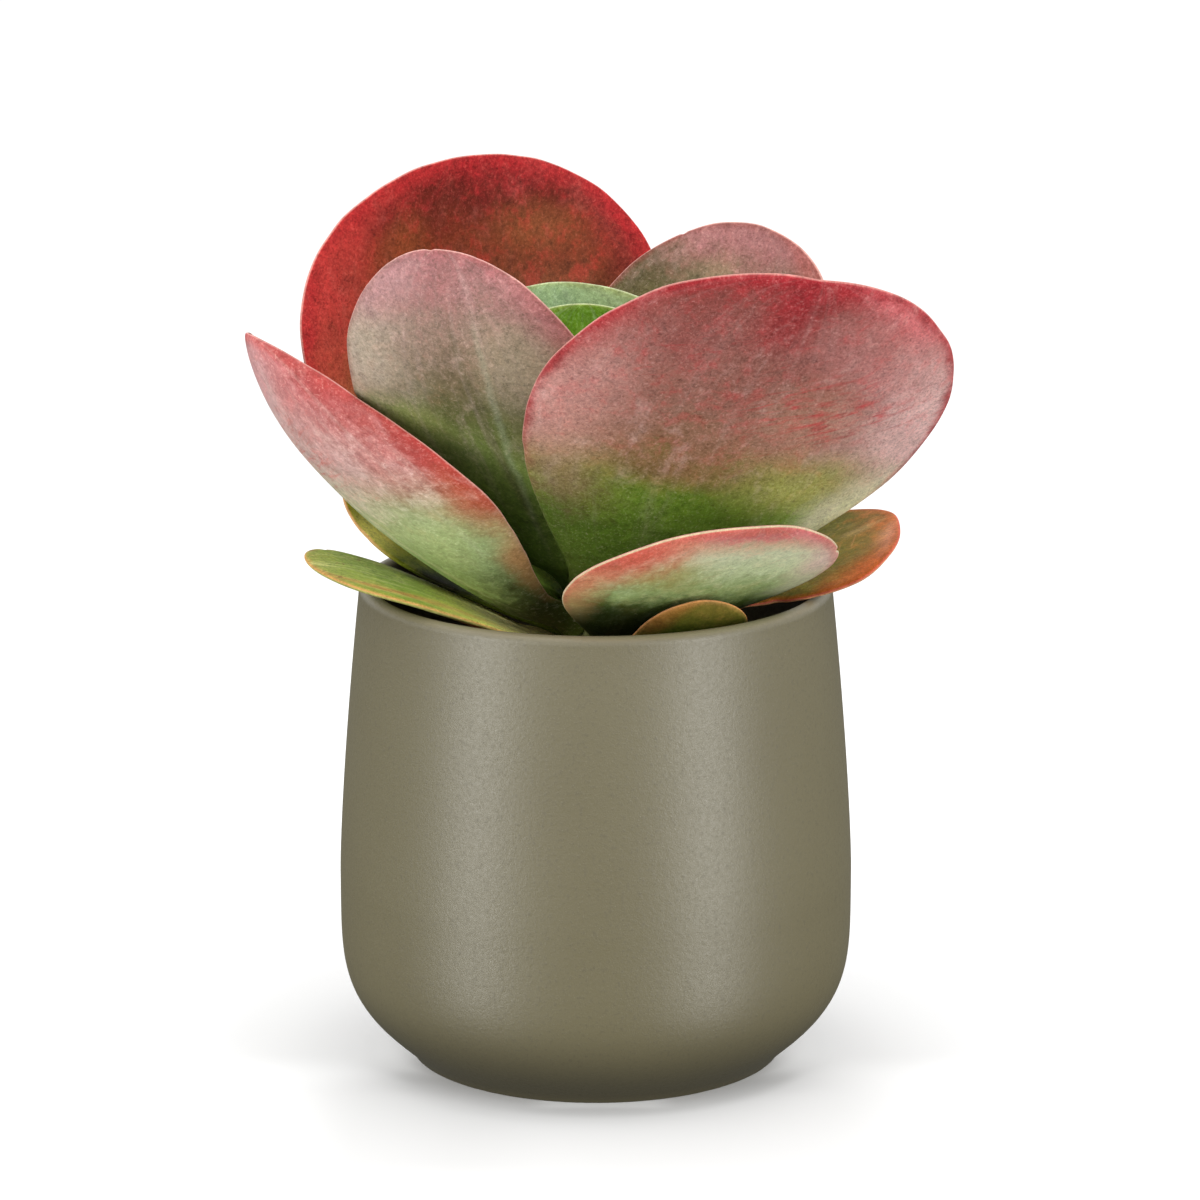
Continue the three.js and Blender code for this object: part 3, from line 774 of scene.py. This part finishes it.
# Each leaf's outer face, inner face, roughness and shine, then its sizes in the order of LEAF_INPUTS.
leaves = {
    "leaf_old_dark": (dark_face, dark_face, 0.5, 0.2, (
        -146, 107.5, 50, 18, 20, 10, 0, 40, 13, 0.62, 2.3, 1.3, 0, 37.5, 14, 0, 0, 2.8)),
    "leaf_over_left_rim": (pale_underside, over_left_inner, 0.5, 0.03, (
        -158.5, 112.5, 76.5, 23, 26.5, 12, -7.5, 50.5, 12.5,
        0.77, 2.5, 0.7, 0.16, 12.5, 4, -2, -3, 3.4)),
    "leaf_low_right_back": (olive_face, olive_face, 0.45, 0.2, (
        30, 109.2, 55.5, 28.5, 21, 27, 0, 42, 12.5, 0.62, 2.3, 1.4, 0, 28, 12.5, 0, 4.5, 3)),
    "leaf_small_front_right": (small_front_outer, olive_face, 0.5, 0.1, (
        -54, 109.9, 58, 31, 18, 58, -4.5, 32.5, 13, 0.61, 2.25, 1.35, 0, 36.5, 6.5, 4, -17, 3)),
    "leaf_low_back": (olive_face, olive_face, 0.45, 0.2, (
        109.5, 110.6, 62, 27.5, 23.5, 30.5, 0, 46, 13, 0.62, 2.3, 1.45, 0, 41, 14, -1.5, 0, 3)),
    "leaf_low_back_left": (low_back_left_inner, low_back_left_inner, 0.5, 0.03, (
        147, 116.4, 79.5, 34, 25, 49, -0.5, 66.5, 10.5, 0.59, 2.25, 1.35, 0, 24.5, 12.5, -2, -4.5, 3.6)),
    "leaf_low_front_right": (low_front_outer, rosy_inner, 0.5, 0.12, (
        -61, 114.8, 87.5, 34.5, 28, 48, 4, 76.5, 12.5, 0.68, 1.7, 1.55, -0.06, 15, 4, -2.5, -5, 3.6)),
    "leaf_left_folded": (left_folded_outer, rosy_inner, 0.5, 0.12, (
        -148.5, 118.8, 108, 49.5, 29, 104, -51, 79.5, 13, 0.65, 2.5, 1.8, 0.2, 53, 52, 9, -13, 3.6)),
    "leaf_over_right_rim": (olive_face, over_right_inner, 0.42, 0.03, (
        10, 118.4, 78.5, 24.5, 34.5, 36, -14, 54.5, 12.5, 0.75, 1.7, 2.5, -0.2, 10, 4, 18, 2.5, 3.6)),
    "leaf_back_left": (rosy_outer, back_left_inner, 0.5, 0.06, (
        127, 122.5, 131, 65, 32.5, 89, -4, 126.5, 13, 0.6, 2.35, 1.3, 0.01, 30.5, 4, -1, -0.5, 3.6)),
    "leaf_front_right": (front_right_outer, rosy_inner, 0.5, 0.12, (
        -53, 120.5, 140, 52, 42.5, 54.5, 0, 119.5, 13.5,
        0.62, 1.95, 1.1, 0.02, 26.5, 12.5, -17.5, -18, 3.6)),
    "leaf_front_left": (front_left_outer, rosy_inner, 0.5, 0.12, (
        -123.5, 127.3, 124, 60.5, 54, 95, -1.5, 78.5, 13, 0.56, 1.8, 1.2, 0.02, 32, 13, 3.5, 14.5, 3.6)),
    "leaf_back_right": (rosy_outer, back_right_inner, 0.5, 0.1, (
        53, 126.4, 112.5, 58.5, 51, 74, -3.5, 85, 13, 0.6, 2.05, 1.15, -0.01, 38, 14, 0, 2, 3.6)),
    "leaf_centre_back": (centre_back_face, centre_back_face, 0.5, 0.1, (
        112, 131.1, 82.5, 73.5, 54, 89.5, 0.5, 78.5, 13, 0.66, 2.4, 1.3, -0.03, 38, 15, 0.5, -7, 3.6)),
    "leaf_centre_front": (centre_back_face, centre_back_face, 0.5, 0.1, (
        -62.5, 131.6, 60, 70, 58.5, 82, 0, 46, 13, 0.62, 2.3, 1.3, 0, 39.5, 14, -1, -0.5, 3)),
    "leaf_centre_inner": (fresh_face, fresh_face, 0.5, 0.06, (
        79.5, 136.1, 71, 80, 67, 82, 6, 57.5, 11, 0.64, 2.35, 1.3, 0, 38.5, 13.5, 0.5, 2, 3)),
    "leaf_inner_front": (centre_back_face, centre_back_face, 0.5, 0.1, (
        -114, 136, 48, 77, 67.5, 84, -0.5, 36, 11, 0.62, 2.3, 1.3, 0, 40, 14.5, 1, 1, 2.8)),
    "leaf_bud_back": (fresh_face, fresh_face, 0.45, 0.2, (
        130, 140.6, 28, 93, 84, 100, 0, 19, 9, 0.62, 2.3, 1.3, 0, 39.5, 14, -1, 0, 2.4)),
    "leaf_bud_front": (fresh_face, fresh_face, 0.45, 0.2, (
        -52, 140.2, 25, 92, 84, 98, 0, 17, 9, 0.62, 2.3, 1.3, 0, 39, 14, -0.5, 0, 2.4)),
}


def finish_piece(piece, node):
    """The piece takes the place of its CAD node."""
    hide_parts(node)
    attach(piece, "root")


paddle_leaf = leaf_tree()
for seed, (node, row) in enumerate(leaves.items(), start=1):
    outer, inner, gloss, shine, numbers = row
    values = {label: float(number) for label, number in zip(LEAF_INPUTS, numbers)}
    values["Seed"] = float(seed)
    values["Ripple"] = min(LARGEST_RIPPLE, RIPPLE_SHARE * values["Length"])
    values["Skin"] = leaf_material(node + "_skin", outer, inner, gloss, shine)
    leaf = grow(node + "_blade", paddle_leaf, values)
    face_outwards(leaf)
    finish_piece(leaf, node)


# ---- Pot

def pot_radius(z):
    """Outer radius of the pot at a height."""
    if z < BELLY_HEIGHT:
        swell = (1 - (1 - z / BELLY_HEIGHT) ** LOWER_POWER) ** LOWER_ROUND
        return FOOT_RADIUS + (BELLY_RADIUS - FOOT_RADIUS) * swell
    rise = (z - BELLY_HEIGHT) / (POT_HEIGHT - BELLY_HEIGHT)
    return BELLY_RADIUS + (RIM_RADIUS - BELLY_RADIUS) * rise ** UPPER_POWER


def turned_piece(name, profile, sides, material):
    """A closed solid of revolution from (radius, height) points, first and last on the axis."""
    shape = bmesh.new()
    rings = []
    for radius, height in profile:
        if radius < 0.01:
            rings.append([shape.verts.new((0, 0, height * MM))])
            continue
        ring = []
        for i in range(sides):
            turn = math.tau * i / sides
            corner = (radius * MM * math.cos(turn), radius * MM * math.sin(turn), height * MM)
            ring.append(shape.verts.new(corner))
        rings.append(ring)
    for low, high in zip(rings, rings[1:]):
        for i in range(sides):
            j = (i + 1) % sides
            corners = [low[i % len(low)], low[j % len(low)], high[j % len(high)], high[i % len(high)]]
            shape.faces.new(list(dict.fromkeys(corners)))
    bmesh.ops.recalc_face_normals(shape, faces=shape.faces)
    for made in shape.faces:
        made.smooth = True
    mesh = bpy.data.meshes.new(name)
    shape.to_mesh(mesh)
    shape.free()
    mesh.materials.append(material)
    return put(name, mesh)


GLAZE = srgb(109, 103, 77)
GLAZE_SHADE = srgb(99, 92, 66)
GLAZE_GRAIN = srgb(80, 74, 54)
GLAZE_FLECK = srgb(142, 138, 118)
FOOT_PAINTED_SHADE = srgb(60, 56, 38)
GLAZE_LIP = srgb(140, 132, 108)
BARE_CLAY_IN_PAINTED_SHADE = srgb(44, 30, 20)


def glaze_material():
    """An olive khaki glaze with a fine grain and a paler lip, with painted shade darkening it towards
    the foot and over the bare inside.
    """
    material, board = new_material("khaki_glaze")
    place = board.place()
    x, y, z = [part / MM for part in board.parts(place)]
    radius = board.root(x * x + y * y)
    speckle = board.noise(place, 2600, 3.0, 0.7)
    grain = board.noise(place, 900, 4.0, 0.65)
    cloud = board.noise(place, 22, 3.0, 0.5)
    rings = board.noise(board.stretch(place, 0.1, 0.1, 1.0), 420, 2.0, 0.5)
    colour = board.paint(GLAZE, GLAZE_SHADE, cloud)
    colour = board.paint(colour, GLAZE_GRAIN, board.ease(grain, 0.52, 0.7) * 0.42)
    colour = board.paint(colour, GLAZE_FLECK, board.ease(speckle, 0.58, 0.75) * 0.48)
    # Painted shade: the glaze darkens towards the foot, where the underside of the pot lies in shade.
    colour = board.paint(colour, FOOT_PAINTED_SHADE, board.ease(z + (cloud - 0.5) * 12, 28, 0) * 0.72)
    # Painted shade: the inside wall above the soil is the brown of bare clay darkened almost to black,
    # as the inside of the pot lies in shade.
    inside = 1 - board.ease(radius, RIM_RADIUS - WALL, RIM_RADIUS - 1.5)
    inside = inside * board.ease(z, 70, 80)
    colour = board.paint(colour, BARE_CLAY_IN_PAINTED_SHADE, inside * 0.95)
    lip = 1 - board.ease(board.size(z - POT_HEIGHT), 0.4, 1.6)
    colour = board.paint(colour, GLAZE_LIP, lip * 0.6)
    height = speckle * 0.4 + grain * 0.8 + rings * 0.25
    close_material(board, {
        "Base Color": colour,
        "Roughness": 0.43 + (grain - 0.5) * 0.3 + inside * 0.45,
        "Normal": bump(board, height, 0.45, 0.00025),
        "Specular IOR Level": 0.85,
    })
    return material


def pot_profile():
    """From the middle of the foot, up the outside, over the rim and down the inside to the floor."""
    points = [(0, FOOT_RECESS), (FOOT_RADIUS - 8, FOOT_RECESS)]
    points += [(FOOT_RADIUS - 6.5, 0.0), (FOOT_RADIUS - FOOT_EDGE, 0.0)]
    lip = WALL / 2
    z = 0.15
    while z < POT_HEIGHT - lip - 0.5:
        points.append((pot_radius(z), z))
        z += 0.25 + min(1.4, z * 0.09)
    centre = pot_radius(POT_HEIGHT - lip) - lip
    for i in range(25):
        turn = math.pi * i / 24
        points.append((centre + lip * math.cos(turn), POT_HEIGHT - lip + lip * math.sin(turn)))
    z = POT_HEIGHT - lip - 2
    corner = FLOOR + INNER_ROUND_HEIGHT
    while z > corner:
        points.append((pot_radius(z) - WALL, z))
        z -= 2.5
    for i in range(1, 7):
        turn = math.pi / 2 * i / 6
        radius = pot_radius(corner) - WALL - INNER_ROUND_WIDTH * (1 - math.cos(turn))
        points.append((radius, corner - INNER_ROUND_HEIGHT * math.sin(turn)))
    points.append((0, FLOOR))
    return points


pot = turned_piece("pot_glazed", pot_profile(), POT_SIDES, glaze_material())
finish_piece(pot, "pot")


# ---- Stem

def stem_material():
    """Stem skin, brown below and green above, with dark clouds and pale fibres."""
    material, board = new_material("stem_skin")
    place = board.place()
    z = board.parts(place)[2] / MM
    fibre = board.noise(board.stretch(place, 1.0, 1.0, 0.15), 900, 4.0, 0.6)
    cloud = board.noise(place, 120, 4.0, 0.6)
    colour = board.paint(srgb(120, 104, 66), srgb(120, 140, 74), board.ease(z, 108, 132))
    colour = board.paint(colour, srgb(78, 62, 38), board.ease(cloud, 0.5, 0.7) * 0.6)
    colour = board.paint(colour, srgb(188, 172, 128), board.ease(fibre, 0.55, 0.75) * 0.5)
    close_material(board, {
        "Base Color": colour,
        "Roughness": 0.6 + (fibre - 0.5) * 0.3,
        "Normal": bump(board, fibre + cloud, 0.6, 0.0006),
    })
    return material


def stem_profile():
    """A straight shank in the soil and a dome above it, ringed with the scars of old leaves."""
    points = [(0, STEM_FOOT), (STEM_RADIUS - 0.5, STEM_FOOT), (STEM_RADIUS, STEM_FOOT + 0.6)]
    steps = 90
    for i in range(steps):
        z = SOIL_TOP + (STEM_TOP - SOIL_TOP) * math.sin(math.pi / 2 * i / steps)
        rise = (z - SOIL_TOP) / (STEM_TOP - SOIL_TOP)
        scar = SCAR_DEPTH * max(0, math.cos(math.tau * (z - SOIL_TOP) / SCAR_SPACING)) ** 6
        points.append((max(0.05, STEM_RADIUS * math.sqrt(1 - rise ** 3) - scar), z))
    points.append((0, STEM_TOP))
    return points


stem = turned_piece("stem_scarred", stem_profile(), 64, stem_material())
finish_piece(stem, "stem")


# ---- Soil

def soil_material(name, dark, middle, pale):
    """Rough potting soil in three tones."""
    material, board = new_material(name)
    place = board.place()
    crumb = board.noise(place, 420, 5.0, 0.7)
    fine = board.noise(place, 2200, 4.0, 0.7)
    colour = board.paint(dark, middle, board.ease(crumb, 0.45, 0.68))
    colour = board.paint(colour, pale, board.ease(fine, 0.6, 0.78) * 0.5)
    close_material(board, {
        "Base Color": colour,
        "Roughness": 0.88 + (fine - 0.5) * 0.2,
        "Normal": bump(board, crumb + fine * 0.5, 0.8, 0.0012),
        "Specular IOR Level": 0.25,
    })
    return material


def soil_bed_profile():
    """From the middle of the pot's floor, up along the wall, over the soil and down the stem's hole."""
    wall = pot_radius(SOIL_TOP) - WALL - SOIL_CLEARANCE
    bottom = FLOOR + GAP
    points = [(0, bottom), (pot_radius(FLOOR) - WALL - 4.6, bottom)]
    for z in (16, 25, 37, BELLY_HEIGHT, 66, 80, 90):
        points.append((pot_radius(z) - WALL - SOIL_CLEARANCE, z))
    for i in range(29):
        share = i / 28
        radius = wall + (STEM_RADIUS + 0.35 - wall) * share
        points.append((radius, SOIL_TOP - SOIL_DIP * max(0, 1 - share * 1.4) - 0.3))
    points.append((STEM_RADIUS + GAP, SOIL_TOP - STEM_HOLE_DEPTH))
    points.append((0, SOIL_TOP - STEM_HOLE_DEPTH))
    return points


def crumb_tree():
    """Crumbs strewn over a surface, each a small lump turned and sized at random."""
    inputs = [("Bed", "Geometry"), ("Crumbs Per Square Metre", "Float"), ("Smallest", "Float")]
    inputs += [("Largest", "Float"), ("Seed", "Int"), ("Soil", "Material")]
    tree, board, given = new_tree("soil crumbs", inputs, "Strewn")
    seed = given.out("Seed")
    density = given.out("Crumbs Per Square Metre")
    sockets = {"Mesh": given.out("Bed"), "Density": density, "Seed": seed}
    points = board.node("GeometryNodeDistributePointsOnFaces", None, sockets)
    lump = board.node("GeometryNodeMeshIcoSphere", None, {"Radius": 1.0, "Subdivisions": 1})
    position = board.node("GeometryNodeInputPosition")
    push = (board.noise(position, 1.1, 2.0) - 0.5) * 1.3
    normal = board.node("GeometryNodeInputNormal")
    offset = board.node("ShaderNodeVectorMath", {"operation": "SCALE"}, {0: normal, "Scale": push})
    lump = board.node("GeometryNodeSetPosition", None, {"Geometry": lump, "Offset": offset})
    sockets = {0: (0, 0, 0), 1: (math.tau, math.tau, math.tau), "Seed": seed}
    turn = board.node("FunctionNodeRandomValue", {"data_type": "FLOAT_VECTOR"}, sockets)

    def chance(low, high, seed):
        """A random number between low and high for each crumb."""
        sockets = {2: low, 3: high, "Seed": seed}
        return board.node("FunctionNodeRandomValue", {"data_type": "FLOAT"}, sockets, out=1)

    wide = chance(given.out("Smallest"), given.out("Largest"), seed + 1)
    squat = chance(0.45, 1.0, seed + 2)
    size = board.vector(wide, wide * squat, wide * 0.75)
    sockets = {"Points": points, "Instance": lump, "Rotation": turn, "Scale": size}
    strewn = board.node("GeometryNodeInstanceOnPoints", None, sockets)
    strewn = board.node("GeometryNodeRealizeInstances", None, {"Geometry": strewn})
    close_tree(board, strewn, given.out("Soil"), "Strewn")
    return tree


def roughen(piece, lowest, height, spread):
    """Lifts and sinks the upper surface of the soil a little."""
    for vertex in piece.data.vertices:
        x, y, z = vertex.co
        if z > lowest * MM and math.hypot(x, y) > (STEM_RADIUS + 2) * MM:
            broad = noise.noise(Vector((x, y, 0)) / spread / MM)
            fine = noise.noise(Vector((x, y, 1)) / spread / MM * 3)
            vertex.co.z += height * MM * (broad + 0.5 * fine)


GROUND_SIDES = 64


def strewn_ground(inner, outer):
    """A ring on the soil's surface, on which crumbs are strewn."""
    points = []
    faces = []
    for i in range(GROUND_SIDES):
        turn = math.tau * i / GROUND_SIDES
        for radius, height in ((inner, SOIL_TOP - 0.4), (outer, SOIL_TOP - SOIL_DIP - 0.1)):
            points.append((radius * MM * math.cos(turn), radius * MM * math.sin(turn), height * MM))
        j = (i + 1) % GROUND_SIDES
        faces.append((2 * i, 2 * i + 1, 2 * j + 1, 2 * j))
    mesh = bpy.data.meshes.new("strewn ground")
    mesh.from_pydata(points, [], faces)
    return mesh


potting_soil = soil_material("potting_soil", srgb(34, 24, 18), srgb(66, 47, 33), srgb(104, 78, 54))
bark = soil_material("bark_chips", srgb(70, 46, 30), srgb(112, 76, 48), srgb(150, 116, 80))
soil = turned_piece("soil_bed", soil_bed_profile(), 128, potting_soil)
roughen(soil, SOIL_TOP - 5, 0.55, 5.0)
finish_piece(soil, "soil")

crumbs = crumb_tree()
soil_edge = pot_radius(SOIL_TOP) - WALL - 2.2
for name, amount, smallest, largest, seed, stuff in (
    ("soil_crumbs", 330000, 0.35, 1.15, 5, potting_soil),
    ("bark_chips", 26000, 0.8, 1.7, 11, bark),
):
    strewn = grow(name, crumbs, {
        "Crumbs Per Square Metre": float(amount),
        "Smallest": smallest * MM,
        "Largest": largest * MM,
        "Seed": seed,
        "Soil": stuff,
    }, strewn_ground(STEM_RADIUS + 2.5, soil_edge))
    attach(strewn, "root")


# ---- Camera, light and floor
CAMERA_TARGET = Vector((1.15, 0, 127.3)) * MM
CAMERA_DISTANCE = 1500 * MM
CAMERA_ELEVATION = math.radians(14)
LENS = 164.57
SENSOR_WIDTH = 36
LIGHT_TARGET = Vector((0, 0, 120)) * MM


def aim(thing, target):
    """Turns a camera or light towards a point."""
    thing.rotation_mode = "QUATERNION"
    thing.rotation_quaternion = (target - thing.location).to_track_quat("-Z", "Y")


camera = put("camera", bpy.data.cameras.new("camera"))
camera.data.sensor_width = SENSOR_WIDTH
camera.data.lens = LENS
camera.data.clip_start = 0.05
camera.data.clip_end = 50
back = Vector((0, -math.cos(CAMERA_ELEVATION), math.sin(CAMERA_ELEVATION)))
camera.location = CAMERA_TARGET + back * CAMERA_DISTANCE
aim(camera, CAMERA_TARGET)
scene.camera = camera


def soft_box(name, azimuth, distance, middle_height, width, height, brightness):
    """A soft box that faces the plant, in metres, its azimuth from the front towards the right."""
    light = bpy.data.lights.new(name, "AREA")
    light.shape = "RECTANGLE"
    light.size = width
    light.size_y = height
    light.energy = brightness * math.pi * width * height
    lamp = put(name, light)
    turn = math.radians(azimuth)
    lamp.location = (distance * math.sin(turn), -distance * math.cos(turn), middle_height)
    aim(lamp, LIGHT_TARGET)


soft_box("left_box", -53, 1.3, 0.12, width=0.32, height=1.5, brightness=7.6)
soft_box("right_box", 50, 1.3, 0.12, width=0.32, height=1.5, brightness=7.8)
soft_box("top_box", 180, 0.2, 1.5, width=0.9, height=0.9, brightness=2.4)


def studio_world():
    """White above and darker below, as in a room with light walls and a dark floor."""
    studio = bpy.data.worlds.new("studio")
    studio.use_nodes = True
    studio.node_tree.nodes.clear()
    board = Board(studio.node_tree)
    direction = board.node("ShaderNodeTexCoord").out("Generated")
    rise = board.ease(board.parts(direction)[2], -0.2, 0.15)
    colour = board.paint((0.1, 0.1, 0.1, 1), (1, 1, 1, 1), rise)
    light = board.node("ShaderNodeBackground", None, {"Color": colour, "Strength": 1.05})
    board.node("ShaderNodeOutputWorld", None, {"Surface": light})
    return studio


scene.world = studio_world()
scene.view_settings.view_transform = "Standard"


def floor_material():
    """A pale floor that glows a little, as in a bright room, but less in the shade of the pot."""
    material, board = new_material("pale_floor")
    x, y, _ = [part / MM for part in board.parts(board.place())]
    far = board.root(x * x + y * y)

    def fall(value, start, end):
        """1 up to start and 0 past end."""
        return 1 - board.ease(value, start, end)

    # The haze of shade behind the pot, and the deeper shade in front of it, deepest on the left.
    back = board.ease(y, -28, -8)
    haze = back * board.ease(far, 62, 78) * fall(far, 95, 130) * 0.42
    front = board.ease(y, -22, -42) * fall(y, -95, -130) * fall(board.size(x), 62, 90)
    front = front * (board.ease(x, -5, -40) * 0.4 + 0.45)
    # The dark line where the foot stands, thinner at the sides, with a light spot at its middle.
    side_line = fall(far, 50, 57) * board.ease(y, 5, -20)
    front_line = fall(far, 59, 65) * board.ease(y, -20, -34)
    foot = board.larger(side_line, front_line)
    lift = fall(board.size(x - 2), 12, 22) * fall(board.size(y + 51), 2, 6) * 0.7
    glow = (1 - front) * (1 - foot) * (1 - haze) + back * fall(far, 57, 70) * 0.85 + lift
    close_material(board, {
        "Base Color": (0.8, 0.8, 0.8, 1),
        "Roughness": 0.9,
        "Specular IOR Level": 0.1,
        "Emission Color": board.vector(glow, glow, glow),
        "Emission Strength": 0.16,
    })
    return material


floor_mesh = bpy.data.meshes.new("floor")
FLOOR_REACH = 9.0
corners = [(FLOOR_REACH * x, FLOOR_REACH * y, 0) for x, y in ((-1, -1), (1, -1), (1, 1), (-1, 1))]
floor_mesh.from_pydata(corners, [], [(0, 1, 2, 3)])
floor_mesh.materials.append(floor_material())
floor = put("floor", floor_mesh)
floor.visible_diffuse = False
floor.visible_glossy = False
floor.visible_shadow = False
